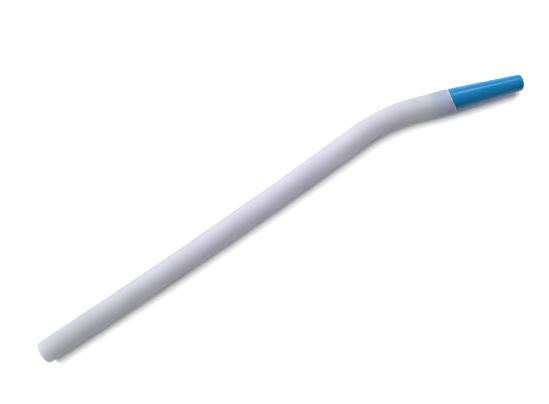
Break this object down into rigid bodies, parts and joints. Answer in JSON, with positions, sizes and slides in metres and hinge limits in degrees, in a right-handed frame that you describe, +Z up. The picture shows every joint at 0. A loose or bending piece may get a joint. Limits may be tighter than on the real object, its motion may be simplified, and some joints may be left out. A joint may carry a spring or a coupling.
{
  "type": "saliva ejector tip",
  "caption": "Bent plastic suction tube with a tapered nozzle pushed into its front end; the plain rear end pushes into a dental suction valve.",
  "frame": {"origin": "under the middle of the tip's box, on the surface that the tip lies on", "axes": "+X along the shaft from the valve end towards the nozzle, with the valve end's face square to X; +Z up, square to the plane of the bend; the nozzle points to the -Y side"},
  "size_m": [0.1466, 0.0166, 0.0065],
  "materials": {
    "tube_plastic": "satin, slightly translucent extruded plastic",
    "nozzle_plastic": "semi-gloss moulded plastic"
  },
  "bodies": {
    "tube": {"suction_tube": "tube_plastic"},
    "nozzle": {"suction_nozzle": "nozzle_plastic"}
  },
  "joints": [
    {"name": "nozzle_pull", "type": "slide", "parent": "tube", "child": "nozzle", "axis": [0.9483, -0.3173, 0], "range_m": [0, 0.012]}
  ]
}
